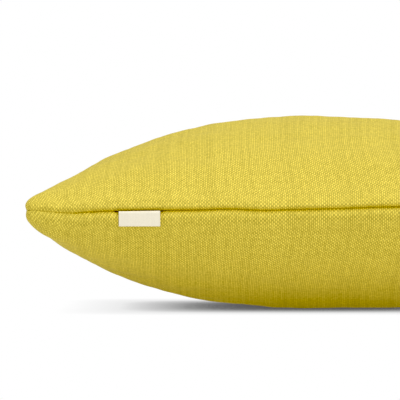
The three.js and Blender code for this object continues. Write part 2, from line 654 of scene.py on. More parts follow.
@dataclass(frozen=True)
class RolledEdge:
    """The rolled edge of one panel, where it folds over towards the seam.

    lip is where the roll starts, as the part of the half width that lies outside it. From there the
    panel runs on straight, folds over at a height from the seam, and runs back to the seam. The fold
    is rounded over a length to both sides. Height and rounding are given where the cloth is slack,
    then where it is tight.
    """

    lip: float
    fold_heights: tuple[float, float]
    roundings: tuple[float, float]

    def fold_at(self, tightness: Array) -> tuple[Array, Array]:
        """The fold where the cloth is as tight as given.

        Args:
            tightness: 0 where it's slack to 1.

        Returns:
            The fold's height from the seam and its rounding to each side.
        """
        heights = self.fold_heights[0] + (self.fold_heights[1] - self.fold_heights[0]) * tightness
        roundings = self.roundings[0] + (self.roundings[1] - self.roundings[0]) * tightness
        return heights, roundings


ROLLED_EDGES = {
    Panel.UPPER: RolledEdge(0.0031, fold_heights=(3.2 * MM, 2.2 * MM), roundings=(2.0 * MM, 1.3 * MM)),
    Panel.LOWER: RolledEdge(0.0120, fold_heights=(2.4 * MM, 4.2 * MM), roundings=(4.0 * MM, 3.6 * MM)),
}


@dataclass(frozen=True)
class SeamRoll:
    """How each panel rolls into the seam, which lies in a groove between the two rolled edges.

    Behind the seam the two panels are closed up, but for a small part of the opening, and run back
    through a pocket into the tuck, where each ends in a level hidden face.
    """

    slack_depth: float = 4.2 * MM
    tight_depth: float = 2.4 * MM
    corner_depth: float = 0.25 * MM
    open_by: float = 0.08 * MM
    corner_open_by: float = 0.14 * MM
    stitch_inset: float = 0.8 * MM
    closed_part: float = 0.9
    pocket_depth: float = 3.4 * MM
    tuck: float = 7 * MM
    hidden_gap: float = 0.4 * MM
    most_of_run: float = 0.94
    most_of_back: float = 0.9
    steps: int = 8

    def tightness(self, u: Array, v: Array) -> Array:
        """How tight the cloth is at border places, from 0 where it's slack to 1."""
        return np.clip(sum(stretch.share_at(u, v) for stretch in TIGHT_STRETCHES), 0, 1)

    def depth_at(self, u: Array, v: Array) -> Array:
        """Depth of the groove at border places."""
        depth = self.slack_depth + (self.tight_depth - self.slack_depth) * self.tightness(u, v)
        return depth + (self.corner_depth - depth) * self.in_corner(u, v)

    def opening_at(self, u: Array, v: Array) -> Array:
        """Gap between the two panels in the groove at border places."""
        return self.open_by + (self.corner_open_by - self.open_by) * self.in_corner(u, v)

    def in_corner(self, u: Array, v: Array, sharpness: int = 4) -> Array:
        """How near border places are to a corner, 1 in it."""
        return np.minimum(np.abs(u), np.abs(v)) ** sharpness

    def fold_of(self, u: Array, v: Array, panel: Panel, height: Array) -> tuple[Array, Array]:
        """Where a panel's fold lies at border places.

        Args:
            u: Border places along X.
            v: Border places along Y.
            panel: The panel.
            height: Distance in height from the seam to the lip.

        Returns:
            The fold's height from the seam and its rounding to each side.
        """
        most, most_at_corner = 0.45, 0.75
        fold_height, rounding = ROLLED_EDGES[panel].fold_at(self.tightness(u, v))
        fold_height = np.minimum(fold_height, most * height)
        in_corner = self.in_corner(u, v, sharpness=6)
        return fold_height + (most_at_corner * height - fold_height) * in_corner, rounding


@dataclass(frozen=True)
class GrainPull:
    """How the threads that cross one edge spread from a place along it, most at the reach inwards."""

    edge: Edge
    centre: float
    strength: float = 0.9
    reach: float = 120 * MM

    def shift_at(self, places: Array, half: float) -> Array:
        """Shift of the threads at places on the flat cloth.

        Args:
            places: Places in metres from the middle of the cloth.
            half: Distance from the middle of the cloth to its seams.

        Returns:
            Shifts along both directions of the cloth.
        """
        along = 0 if self.edge in (Edge.FRONT, Edge.BACK) else 1
        away = half + places[..., 1 - along] * (1 if self.edge in (Edge.FRONT, Edge.LEFT) else -1)
        shift = np.zeros_like(places)
        spread = self.strength * np.clip(away, 0, None) * np.exp(-((away / self.reach) ** 2))
        shift[..., along] = (places[..., along] - self.centre) * spread
        return shift


GRAIN_PULLS = (
    GrainPull(Edge.FRONT, centre=-111 * MM),
    GrainPull(Edge.RIGHT, centre=40 * MM),
    GrainPull(Edge.BACK, centre=60 * MM),
    GrainPull(Edge.LEFT, centre=-70 * MM),
)


@dataclass(frozen=True)
class PanelBorder:
    """The border of a panel's outer surface, counterclockwise, where the cloth rolls into the seam."""

    numbers: Array
    lip: Array
    inside: Array
    u: Array
    v: Array

    @classmethod
    def of_surface(cls, points: Array, u: Array, v: Array) -> "PanelBorder":
        """Takes the border from a surface.

        Args:
            points: Its points, in rows along Y and columns along X.
            u: Grid places along X.
            v: Grid places along Y.

        Returns:
            Point numbers and points of the border, the points next to them further in, and u and v
            stretched to reach 1.
        """
        side = len(points)
        table = np.arange(side * side).reshape(side, side)
        numbers = border_of(table)
        inner = np.clip(np.arange(side), 1, side - 2)
        inside = border_of(table[np.ix_(inner, inner)])
        flat = points.reshape(-1, 3)
        reach = np.abs(u).max()
        border_u, border_v = u.ravel()[numbers] / reach, v.ravel()[numbers] / reach
        return cls(numbers, flat[numbers], flat[inside], border_u, border_v)


@dataclass
class CoverPanel:
    """One panel of the cover as a filled half body, from its crown to the middle of the seam."""

    panel: Panel
    form: CoverForm
    settled: SettledCloth
    finish: "CoverCloth"
    seam_opening: "SeamOpening"
    relief: SoftRelief = field(default_factory=SoftRelief)
    roll: SeamRoll = field(default_factory=SeamRoll)
    cells: int = 200
    crowding: float = 0.82
    cloth_half: float = 230 * MM
    middle_stretch: float = 3.7 * MM
    middle_stretch_reach: float = 144 * MM
    fill: float = 0.75

    @property
    def name(self) -> str:
        """The piece's name."""
        return f"{self.panel.name.lower()}_panel"

    def grid_lines(self) -> Array:
        """Grid places of the outer surface. They crowd towards the seam, where the cloth curves most.

        Returns:
            Places from the lip of one rolled edge to the other.
        """
        even = np.linspace(-1, 1, self.cells + 1)
        crowded = np.sin(even * math.pi / 2)
        reach = 1 - ROLLED_EDGES[self.panel].lip
        return reach * ((1 - self.crowding) * even + self.crowding * crowded)

    def cloth_places(self, points: Array) -> Array:
        """Where each point of the grid lies on the flat cloth.

        Lengths are measured along each line of the grid and spread evenly between the two seams, so
        the threads follow the cloth and stay square to the seams.

        Args:
            points: The points of the outer surface.

        Returns:
            Places in metres from the middle of the cloth.
        """
        places = np.empty(points.shape[:2] + (2,))
        for axis, component in ((1, 0), (0, 1)):
            steps = np.linalg.norm(np.diff(points, axis=axis), axis=2)
            arc = np.cumsum(steps, axis=axis)
            arc = np.concatenate([np.zeros_like(arc.take([0], axis=axis)), arc], axis=axis)
            whole = arc.take([-1], axis=axis)
            places[..., component] = self.cloth_half * (2 * arc / whole - 1)
        drawn = np.clip(places / self.middle_stretch_reach, -1, 1)
        places -= self.middle_stretch * np.sin(drawn * math.pi) - self.middle_ease(places)
        return places + sum(pull.shift_at(places, self.cloth_half) for pull in GRAIN_PULLS)

    def middle_ease(self, places: Array) -> Array:
        """Extra cloth beyond the stretched middle, in proportion to the distance from it.

        Args:
            places: Places on the flat cloth.

        Returns:
            Lengths to add to them.
        """
        beyond = np.clip(np.abs(places) - self.middle_stretch_reach, 0, None)
        share = self.middle_stretch * math.pi / self.middle_stretch_reach
        return np.sign(places) * beyond * share

    def outer_surface(self) -> tuple[Array, Array, Array, Array]:
        """The panel's visible surface, up to where it rolls into the seam.

        Returns:
            The points, the places on the cloth, and u and v at each point.
        """
        lines = self.grid_lines()
        u, v = np.meshgrid(lines, lines)
        points = self.form.surface(u, v, self.panel) + self.settled.move_at(self.panel, lines, lines)
        places = self.cloth_places(points)
        along_x = np.gradient(points, axis=1)
        along_y = np.gradient(points, axis=0)
        outward = unit(np.cross(along_x, along_y)) * self.panel.value
        points -= outward * self.relief.depth_at(u, v, places, self.panel)[..., None]
        points[..., 2] = np.maximum(points[..., 2], 0)
        return points, places, u, v

    def seam_line(self, u: Array, v: Array) -> tuple[Array, Array]:
        """The seam beside each border point of the grid.

        Args:
            u: Border places along X.
            v: Border places along Y.

        Returns:
            The points of the seam, and the direction straight out of the groove.
        """
        scale = np.maximum(np.abs(u), np.abs(v))
        seam_u, seam_v = u / scale, v / scale
        x, y = self.form.plan(seam_u, seam_v)
        points = np.stack([x, y, self.form.seam_level(seam_u, seam_v)], axis=-1)
        tangent = np.roll(points, -1, axis=0) - np.roll(points, 1, axis=0)
        outward = unit(np.stack([tangent[:, 1], -tangent[:, 0], np.zeros(len(points))], axis=-1))
        points -= outward * self.roll.depth_at(seam_u, seam_v)[:, None]
        points[:, 2] += self.panel.value * self.roll.opening_at(seam_u, seam_v) / 2
        if self.panel is Panel.LOWER:
            points[:, 2] -= self.seam_opening.width_at(points)
        return points, outward

    def fold_rings(self, border: PanelBorder, seam: Array, outward: Array) -> list[Array]:
        """Rings of points from the lip of the outer surface over the fold towards the seam.

        Args:
            border: The border of the outer surface.
            seam: Points of the seam.
            outward: Directions straight out of the groove.

        Returns:
            The rings.
        """
        heading = unit(border.lip - border.inside)
        level_part = (heading * outward).sum(1, keepdims=True) * outward
        heading = unit(level_part + heading * np.array([0, 0, 1]))
        height = np.abs(border.lip[:, 2] - seam[:, 2])
        fold_height, rounding = self.roll.fold_of(border.u, border.v, self.panel, height)
        run = (height - fold_height) / np.abs(heading[:, 2])
        fold = border.lip + heading * run[:, None]
        back = np.linalg.norm(seam - fold, axis=1)
        start = fold - heading * np.minimum(rounding, self.roll.most_of_run * run)[:, None]
        end = fold + (seam - fold) * np.minimum(rounding / back, self.roll.most_of_back)[:, None]
        rings = [(border.lip + start) / 2]
        for step in range(self.roll.steps + 1):
            t = step / self.roll.steps
            rings.append((1 - t) ** 2 * start + 2 * (1 - t) * t * fold + t**2 * end)
        return rings + [(end + seam) / 2]

    def hidden_rings(self, border: PanelBorder, seam: Array, outward: Array) -> list[Array]:
        """Rings of points behind the seam.

        Args:
            border: The border of the outer surface.
            seam: Points of the seam.
            outward: Directions straight out of the groove.

        Returns:
            The rings, the last one level, to be closed by the hidden face.
        """
        stitched = seam - outward * self.roll.stitch_inset
        pocket = seam - outward * self.roll.pocket_depth
        if self.panel is Panel.UPPER:
            stitched[:, 2] -= self.roll.closed_part * self.roll.opening_at(border.u, border.v)
            pocket[:, 2] = stitched[:, 2]
        tucked = seam - outward * self.roll.tuck
        tucked[:, 2] = self.form.seam_height + self.panel.value * self.roll.hidden_gap
        return [stitched, pocket, tucked]

    def places_over_roll(self, places: Array, border: PanelBorder, rings: list[Array]) -> Array:
        """Places on the flat cloth of every point.

        Each ring lies outside the outer surface's square on the cloth, by its distance over the roll.

        Args:
            places: Those of the outer surface.
            border: Its border.
            rings: The rings beyond it.

        Returns:
            One row for each point of the surface and then of each ring.
        """
        on_cloth = [places.reshape(-1, 2)]
        away = np.stack([border.u, border.v], axis=-1)
        away = np.where(np.abs(away) > 1 - TINY, np.sign(away), 0)
        before, run = border.lip, np.zeros((len(border.lip), 1))
        for ring in rings:
            run = run + np.linalg.norm(ring - before, axis=1, keepdims=True)
            on_cloth.append(on_cloth[0][border.numbers] + away * run)
            before = ring
        return np.concatenate(on_cloth)

    def closed_faces(self, border: PanelBorder, ring_count: int) -> list[list[int]]:
        """Faces of the outer surface and the rings, closed by the hidden face.

        Args:
            border: The border of the outer surface.
            ring_count: How many rings follow it.

        Returns:
            The faces as lists of point numbers, the hidden one last.
        """
        side = self.cells + 1
        faces = grid_quads(np.arange(side * side).reshape(side, side)).tolist()
        last, count = border.numbers, side * side
        for _ in range(ring_count):
            this = count + np.arange(len(last))
            band = (last, this, np.roll(this, -1), np.roll(last, -1))
            faces += np.stack(band, axis=-1).tolist()
            last, count = this, count + len(last)
        faces.append(last[::-1].tolist())
        if self.panel is Panel.LOWER:
            faces = [face[::-1] for face in faces]
        return faces

    def build(self) -> bpy.types.Object:
        """Makes the closed half body with its bake map and finish.

        Returns:
            The panel.
        """
        points, places, u, v = self.outer_surface()
        border = PanelBorder.of_surface(points, u, v)
        seam, outward = self.seam_line(border.u, border.v)
        rings = [*self.fold_rings(border, seam, outward), seam, *self.hidden_rings(border, seam, outward)]
        all_points = np.concatenate([points.reshape(-1, 3)] + rings)
        ob = new_object(self.name, all_points, self.closed_faces(border, len(rings)))
        self.add_map(ob, self.places_over_roll(places, border, rings))
        ob.data.materials.append(self.finish.material())
        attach(ob, BODY)
        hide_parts(COVER_NODE)
        return ob

    def add_map(self, ob: bpy.types.Object, on_cloth: Array) -> None:
        """Lays the cloth out flat on the bake map, and the hidden face in a small corner of it.

        Args:
            ob: The panel.
            on_cloth: The place of each of its points on the flat cloth.
        """
        mesh = ob.data
        at_corners = corner_values(mesh, self.finish.map_from_cloth(on_cloth))
        hidden = mesh.polygons[len(mesh.polygons) - 1]
        hidden.use_smooth = False
        places = np.array([mesh.vertices[number].co.xy for number in hidden.vertices])
        patch, middle = 0.03, 0.98
        at_corners[hidden.loop_start : hidden.loop_start + hidden.loop_total] = (
            middle + places / (2 * self.form.corner_reach) * patch
        )
        write_map(mesh, at_corners)


class Nodes:
    """Adds nodes to one node tree and links them."""

    def __init__(self, tree: bpy.types.NodeTree) -> None:
        """Keeps the tree that the nodes go into."""
        self.tree = tree

    def add(self, kind: str, **settings: Any) -> bpy.types.Node:
        """A new node.

        Args:
            kind: Its type.
            **settings: Properties to set on it.

        Returns:
            The node.
        """
        node = self.tree.nodes.new(kind)
        for name, value in settings.items():
            setattr(node, name, value)
        return node

    def join(self, value: Any, socket: Socket) -> None:
        """Links a socket, or sets the socket's own value.

        Args:
            value: A socket or a plain value.
            socket: The input that gets it.
        """
        if isinstance(value, bpy.types.NodeSocket):
            self.tree.links.new(value, socket)
        else:
            socket.default_value = value

    def joined(self, node: bpy.types.Node, *values: Any) -> Socket:
        """Gives a node its first inputs.

        Args:
            node: The node.
            *values: Sockets or plain values, in the order of the inputs.

        Returns:
            The node's first output.
        """
        for socket, value in zip(node.inputs, values):
            self.join(value, socket)
        return node.outputs[0]

    def math(self, operation: str, first: Value, second: Value = 0.0) -> Socket:
        """The result of a math node."""
        return self.joined(self.add("ShaderNodeMath", operation=operation), first, second)

    def scaled(self, value: Value, factor: Value, offset: Value = 0.0) -> Socket:
        """value times factor plus offset."""
        return self.joined(self.add("ShaderNodeMath", operation="MULTIPLY_ADD"), value, factor, offset)

    def signed(self, value: Value) -> Socket:
        """A value from 0 to 1 spread over -1 to 1."""
        return self.scaled(value, 2.0, -1.0)

    def ranged(self, value: Value, low: float, high: float, to_low: float, to_high: float) -> Socket:
        """value eased from one range into another."""
        node = self.add("ShaderNodeMapRange", interpolation_type="SMOOTHSTEP")
        return self.joined(node, value, low, high, to_low, to_high)

    def vector_scaled(self, vector: Socket, factor: Value) -> Socket:
        """A vector or colour times a number.

        Args:
            vector: The vector or colour.
            factor: The number.

        Returns:
            The product.
        """
        node = self.add("ShaderNodeVectorMath", operation="SCALE")
        self.join(vector, node.inputs[0])
        self.join(factor, node.inputs["Scale"])
        return node.outputs[0]

    def noise(self, place: Socket, scale: float, detail: float = 2.0) -> Socket:
        """A noise texture.

        Args:
            place: Where it is looked up.
            scale: How many of its waves there are on one unit.
            detail: How many finer layers it has.

        Returns:
            Its value, about 0.5 on average.
        """
        node = self.add("ShaderNodeTexNoise")
        self.join(place, node.inputs["Vector"])
        node.inputs["Scale"].default_value = scale
        node.inputs["Detail"].default_value = detail
        return node.outputs[0]

    def mixed(self, share: Value, first: Any, second: Any) -> Socket:
        """Two colours mixed.

        Args:
            share: The second colour's part.
            first: One colour.
            second: The other colour.

        Returns:
            The mixed colour.
        """
        first_colour, second_colour, result = 6, 7, 2
        node = self.add("ShaderNodeMix", data_type="RGBA")
        self.join(share, node.inputs["Factor"])
        self.join(first, node.inputs[first_colour])
        self.join(second, node.inputs[second_colour])
        return node.outputs[result]


@dataclass(frozen=True)
class GroupSocket:
    """One socket of a node group."""

    name: str
    kind: str = "NodeSocketFloat"


class SharedGroup:
    """A shader node group that is built once and placed in each material with its own values."""

    title = ""
    inputs: tuple[GroupSocket, ...] = ()
    outputs: tuple[GroupSocket, ...] = ()

    def tree(self) -> bpy.types.NodeTree:
        """The group, built on its first use.

        Returns:
            Its node tree.
        """
        found = bpy.data.node_groups.get(self.title)
        if found:
            return found
        tree = bpy.data.node_groups.new(self.title, "ShaderNodeTree")
        for in_out, sockets in (("INPUT", self.inputs), ("OUTPUT", self.outputs)):
            for socket in sockets:
                tree.interface.new_socket(socket.name, in_out=in_out, socket_type=socket.kind)
        nodes = Nodes(tree)
        given = nodes.add("NodeGroupInput").outputs
        results = self.fill(nodes, given)
        out = nodes.add("NodeGroupOutput")
        for name, value in results.items():
            nodes.join(value, out.inputs[name])
        return tree

    def fill(self, nodes: Nodes, given: Any) -> dict[str, Socket]:
        """Makes the group's nodes.

        Args:
            nodes: The group's node maker.
            given: The group's inputs by name.

        Returns:
            What goes to each output, by name.
        """
        raise NotImplementedError

    def place(self, nodes: Nodes, **values: Any) -> Any:
        """Places the group in a material.

        Args:
            nodes: The material's node maker.
            **values: Values or sockets for the group's inputs, with _ for a space.

        Returns:
            The placed group's outputs by name.
        """
        node = nodes.add("ShaderNodeGroup", node_tree=self.tree())
        for name, value in values.items():
            nodes.join(value, node.inputs[name.replace("_", " ")])
        return node.outputs


class PlainWeave(SharedGroup):
    """Warp and weft passing over and under each other by turns.

    In pairs, the warp comes first. Waves and slubs are counted on a metre of cloth.
    """

    title = "plain_weave"
    inputs = (
        GroupSocket("Place", "NodeSocketVector"),
        GroupSocket("Warp Pitch"),
        GroupSocket("Weft Pitch"),
        GroupSocket("Warp Lead"),
        GroupSocket("Roundness"),
        GroupSocket("Drift"),
        GroupSocket("Slub"),
    )
    outputs = (
        GroupSocket("Height"),
        GroupSocket("Float"),
        GroupSocket("Gap"),
        GroupSocket("Tone"),
    )
    drift_waves = 45.0
    drift_origins = ((3.1, 7.7, 1.3), (4.1, 7.7, 1.3))
    tone_seeds = (0.37, 91.37)
    slubs = 95.0
    slub_origins = (0.0, 5.0)
    slub_spacing = 3.7
    melt = 0.25
    top_ease = 0.35
    open_gap = 0.8
    thread_tone = 0.45
    crossing_tone = 0.7

    def thread_count(self, nodes: Nodes, given: Any, place: Any, axis: int) -> Socket:
        """How many threads of one kind lie before a place, as the threads wander.

        Args:
            nodes: The group's node maker.
            given: The group's inputs by name.
            place: The place's components.
            axis: 0 for warp and 1 for weft.

        Returns:
            The count, parts of a thread included.
        """
        shifted = nodes.add("ShaderNodeVectorMath", operation="ADD")
        origin = nodes.joined(shifted, given["Place"], self.drift_origins[axis])
        wander = nodes.signed(nodes.noise(origin, self.drift_waves))
        thread = nodes.math("DIVIDE", place[axis], given[("Warp Pitch", "Weft Pitch")[axis]])
        return nodes.math("ADD", thread, nodes.math("MULTIPLY", wander, given["Drift"]))

    def thread_tone_of(self, nodes: Nodes, number: Socket, axis: int) -> Socket:
        """A thread's own tone.

        Args:
            nodes: The group's node maker.
            number: The thread's number.
            axis: 0 for warp and 1 for weft.

        Returns:
            A tone from -1 to 1.
        """
        random = nodes.add("ShaderNodeTexWhiteNoise", noise_dimensions="1D")
        nodes.join(nodes.math("ADD", number, self.tone_seeds[axis]), random.inputs["W"])
        return nodes.signed(random.outputs["Value"])

    def slub_of(self, nodes: Nodes, number: Socket, along: Socket, axis: int) -> Socket:
        """How much thicker a thread is at a place along it.

        Args:
            nodes: The group's node maker.
            number: The thread's number.
            along: The place along the thread, in metres.
            axis: 0 for warp and 1 for weft.

        Returns:
            A value from -1 to 1.
        """
        stretched = nodes.joined(
            nodes.add("ShaderNodeCombineXYZ"),
            nodes.math("MULTIPLY", number, self.slub_spacing),
            nodes.math("MULTIPLY", along, self.slubs),
            self.slub_origins[axis],
        )
        return nodes.signed(nodes.noise(stretched, 1.0, detail=1.0))

    def crossing_tone_of(self, nodes: Nodes, numbers: list[Socket]) -> Socket:
        """The own tone of one crossing of two threads.

        Args:
            nodes: The group's node maker.
            numbers: The numbers of both threads.

        Returns:
            A tone from -1 to 1.
        """
        middles = [nodes.math("ADD", number, 0.5) for number in numbers]
        random = nodes.add("ShaderNodeTexWhiteNoise", noise_dimensions="2D")
        crossing = nodes.joined(nodes.add("ShaderNodeCombineXYZ"), *middles)
        nodes.join(crossing, random.inputs["Vector"])
        return nodes.signed(random.outputs["Value"])

    def fill(self, nodes: Nodes, given: Any) -> dict[str, Socket]:
        """Works out the weave.

        Args:
            nodes: The group's node maker.
            given: The group's inputs by name.

        Returns:
            Its height, where the warp floats, the gaps between threads that take the painted shade, and
            their tones.
        """
        parts = nodes.add("ShaderNodeSeparateXYZ")
        nodes.join(given["Place"], parts.inputs[0])
        place = parts.outputs
        counts = [self.thread_count(nodes, given, place, axis) for axis in (0, 1)]
        waves = [nodes.math("SINE", nodes.math("MULTIPLY", count, math.pi)) for count in counts]
        bulges = [nodes.math("ABSOLUTE", wave) for wave in waves]
        signs = [nodes.math("SIGN", wave) for wave in waves]
        numbers = [nodes.math("FLOOR", count) for count in counts]
        over = nodes.scaled(nodes.math("MULTIPLY", signs[0], waves[1]), 0.5, 0.5)
        under = nodes.scaled(nodes.math("MULTIPLY", signs[1], waves[0]), -0.5, 0.5)
        heights = []
        for axis, level in enumerate((over, under)):
            slub = self.slub_of(nodes, numbers[axis], place[1 - axis], axis)
            thick = nodes.math("ADD", given["Roundness"], nodes.math("MULTIPLY", slub, given["Slub"]))
            heights.append(nodes.math("ADD", level, nodes.math("MULTIPLY", bulges[axis], thick)))
        warp = nodes.math("ADD", heights[0], given["Warp Lead"])
        weft = heights[1]
        highest = nodes.joined(nodes.add("ShaderNodeMath", operation="SMOOTH_MAX"), warp, weft, self.melt)
        lead = nodes.math("SUBTRACT", warp, weft)
        on_top = nodes.ranged(lead, -self.top_ease, self.top_ease, 0.0, 1.0)
        weft_share = nodes.math("SUBTRACT", 1.0, on_top)
        tones = [self.thread_tone_of(nodes, numbers[axis], axis) for axis in (0, 1)]
        by_weft = nodes.math("MULTIPLY", tones[1], weft_share)
        by_thread = nodes.math("ADD", nodes.math("MULTIPLY", tones[0], on_top), by_weft)
        by_crossing = nodes.scaled(self.crossing_tone_of(nodes, numbers), self.crossing_tone)
        # Painted shade: a float is darker at both its ends, where it dives under, and along its sides.
        ends = nodes.scaled(bulges[1], nodes.scaled(on_top, -0.45, 0.9), nodes.scaled(on_top, 0.45, 0.1))
        raised = nodes.math("MULTIPLY", bulges[0], ends)
        return {
            "Height": nodes.scaled(highest, 0.5),
            "Float": on_top,
            "Gap": nodes.ranged(raised, 0.0, self.open_gap, 1.0, 0.0),
            "Tone": nodes.math("ADD", nodes.scaled(by_thread, self.thread_tone), by_crossing),
        }


class SoftMottling(SharedGroup):
    """Slow, faint changes of tone over a piece, as cloth has where it was handled."""

    title = "soft_mottling"
    inputs = (GroupSocket("Place", "NodeSocketVector"), GroupSocket("Size"))
    outputs = (GroupSocket("Tone"),)

    def fill(self, nodes: Nodes, given: Any) -> dict[str, Socket]:
        """Adds a broad noise and a small one.

        Args:
            nodes: The group's node maker.
            given: The group's inputs by name.

        Returns:
            The tone, about 0 on average.
        """
        shrunk = nodes.vector_scaled(given["Place"], nodes.math("DIVIDE", 1.0, given["Size"]))
        broad = nodes.signed(nodes.noise(shrunk, 1.0))
        small = nodes.scaled(nodes.noise(shrunk, 6.0), 1.0, -0.5)
        return {"Tone": nodes.math("ADD", broad, small)}


def srgb(red: int, green: int, blue: int) -> Colour:
    """A colour given as it looks on a screen.

    Args:
        red: Red from 0 to 255.
        green: Green from 0 to 255.
        blue: Blue from 0 to 255.

    Returns:
        The colour as linear numbers.
    """

    def linear(level: float) -> float:
        """One channel as a linear number."""
        return level / 12.92 if level <= 0.04045 else ((level + 0.055) / 1.055) ** 2.4

    return linear(red / 255), linear(green / 255), linear(blue / 255)


def dimmed(colour: Colour, share: float) -> tuple[float, float, float, float]:
    """A colour at a share of its strength, with its alpha."""
    return colour[0] * share, colour[1] * share, colour[2] * share, 1.0


def new_material(name: str) -> tuple[bpy.types.Material, Nodes, bpy.types.Node]:
    """An empty material.

    Args:
        name: The material's name.

    Returns:
        The material, its node maker and its Principled BSDF.
    """
    material = bpy.data.materials.new(name)
    material.use_nodes = True
    material.node_tree.nodes.clear()
    nodes = Nodes(material.node_tree)
    shader = nodes.add("ShaderNodeBsdfPrincipled")
    out = nodes.add("ShaderNodeOutputMaterial")
    nodes.join(shader.outputs[0], out.inputs["Surface"])
    return material, nodes, shader


@dataclass(frozen=True)
class WovenFinish:
    """A woven finish, whose threads follow the places on the flat cloth that the bake map holds."""

    name: str
    thread: Colour
    gap_shade: float
    gap_roughness: float
    tone_depth: float
    mottling_depth: float
    mottling_size: float
    warp_pitch: float
    weft_pitch: float
    warp_lead: float
    roundness: float
    drift: float
    slub: float
    relief: float
    roughness: float
    sheen: float
    specular: float
    map_span: float
    map_middle: float

    def map_from_cloth(self, on_cloth: Array) -> Array:
        """Bake map coordinates of places on the flat cloth."""
        return self.map_middle + on_cloth / self.map_span

    def weave(self, nodes: Nodes) -> Any:
        """The weave over the flat cloth.

        Args:
            nodes: The material's node maker.

        Returns:
            The weave's outputs by name.
        """
        bake_map = nodes.add("ShaderNodeUVMap", uv_map=BAKE_MAP).outputs[0]
        return PlainWeave().place(
            nodes,
            Place=nodes.vector_scaled(bake_map, self.map_span),
            Warp_Pitch=self.warp_pitch,
            Weft_Pitch=self.weft_pitch,
            Warp_Lead=self.warp_lead,
            Roundness=self.roundness,
            Drift=self.drift,
            Slub=self.slub,
        )

    def clearness(self, nodes: Nodes) -> Value:
        """How clearly the single threads show."""
        return 1.0

    def woven_colour(self, nodes: Nodes, weave: Any, clear: Value) -> Socket:
        """The colour of the threads and the gaps between them, before their tones.

        Args:
            nodes: The material's node maker.
            weave: The weave's outputs by name.
            clear: How clearly the single threads show.

        Returns:
            The colour.
        """
        raise NotImplementedError

    def material(self) -> bpy.types.Material:
        """The finish's material, made once.

        Returns:
            The material.
        """
        found = bpy.data.materials.get(self.name)
        if found:
            return found
        material, nodes, shader = new_material(self.name)
        weave = self.weave(nodes)
        clear = self.clearness(nodes)
        where = nodes.add("ShaderNodeTexCoord").outputs["Object"]
        mottling = SoftMottling().place(nodes, Place=where, Size=self.mottling_size)
        level = nodes.scaled(weave["Tone"], self.tone_depth, 1.0)
        level = nodes.scaled(mottling["Tone"], self.mottling_depth, level)
        colour = nodes.vector_scaled(self.woven_colour(nodes, weave, clear), level)
        nodes.join(colour, shader.inputs["Base Color"])
        roughness = nodes.scaled(weave["Gap"], self.gap_roughness, self.roughness)
        nodes.join(roughness, shader.inputs["Roughness"])
        bump = nodes.add("ShaderNodeBump")
        nodes.join(clear, bump.inputs["Strength"])
        bump.inputs["Distance"].default_value = self.relief
        nodes.join(weave["Height"], bump.inputs["Height"])
        nodes.join(bump.outputs[0], shader.inputs["Normal"])
        shader.inputs["Sheen Weight"].default_value = self.sheen
        shader.inputs["Specular IOR Level"].default_value = self.specular
        return material


@dataclass(frozen=True)
class CoverCloth(WovenFinish):
    """Heavy plain-weave cover cloth, its warp leading over the weft in bright dashes.

    The single threads show less the more steeply the cloth turns away. clear_facings are the turns
    between which they fade, to the part left_clear.
    """

    name: str = "yellow_cover_cloth"
    thread: Colour = srgb(241, 220, 106)
    gap_shade: float = 0.52
    weft_shade: float = 0.69
    mean_gap: float = 0.42
    gap_roughness: float = 0.08
    clear_facings: tuple[float, float] = (0.55, 0.88)
    left_clear: float = 0.15
    tone_depth: float = 0.16
    mottling_depth: float = 0.03
    mottling_size: float = 45 * MM
    warp_pitch: float = 1.38 * MM
    weft_pitch: float = 1.50 * MM
    warp_lead: float = 0.25
    roundness: float = 0.8
    drift: float = 0.35
    slub: float = 0.3
    relief: float = 0.28 * MM
    roughness: float = 0.90
    sheen: float = 0.0
    specular: float = 0.42
    map_span: float = 0.56
    map_middle: float = 0.48

    def clearness(self, nodes: Nodes) -> Value:
        """How clearly the single threads show.

        Args:
            nodes: The material's node maker.

        Returns:
            1 where the cloth faces the eye, less where it turns away.
        """
        facing = nodes.add("ShaderNodeLayerWeight")
        facing.inputs["Blend"].default_value = 0.5
        return nodes.ranged(facing.outputs["Facing"], *self.clear_facings, 1.0, self.left_clear)

    def woven_colour(self, nodes: Nodes, weave: Any, clear: Value) -> Socket:
        """Bright warp, with painted shade on the lower-lying weft and in the gaps between threads.

        Args:
            nodes: The material's node maker.
            weave: The weave's outputs by name.
            clear: How clearly the single threads show.

        Returns:
            The colour.
        """
        weft = dimmed(self.thread, self.weft_shade)
        strands = nodes.mixed(weave["Float"], weft, dimmed(self.thread, 1.0))
        gap = nodes.scaled(nodes.math("SUBTRACT", weave["Gap"], self.mean_gap), clear, self.mean_gap)
        return nodes.mixed(gap, strands, dimmed(self.thread, self.gap_shade))


@dataclass(frozen=True)
class LabelRibbon(WovenFinish):
    """Cream woven satin ribbon, bare."""

    name: str = "cream_label_ribbon"
    thread: Colour = srgb(248, 241, 218)
    gap_shade: float = 0.75
    gap_roughness: float = 0.15
    tone_depth: float = 0.03
    mottling_depth: float = 0.02
    mottling_size: float = 8 * MM
    warp_pitch: float = 0.24 * MM
    weft_pitch: float = 0.34 * MM
    warp_lead: float = 0.6
    roundness: float = 0.6
    drift: float = 0.1
    slub: float = 0.1
    relief: float = 0.05 * MM
    roughness: float = 0.50
    sheen: float = 0.15
    specular: float = 0.5
    map_span: float = 0.034
    map_middle: float = 0.5

    def woven_colour(self, nodes: Nodes, weave: Any, clear: Value) -> Socket:
        """Threads of one colour, with painted shade in the gaps between them."""
        return nodes.mixed(weave["Gap"], dimmed(self.thread, 1.0), dimmed(self.thread, self.gap_shade))


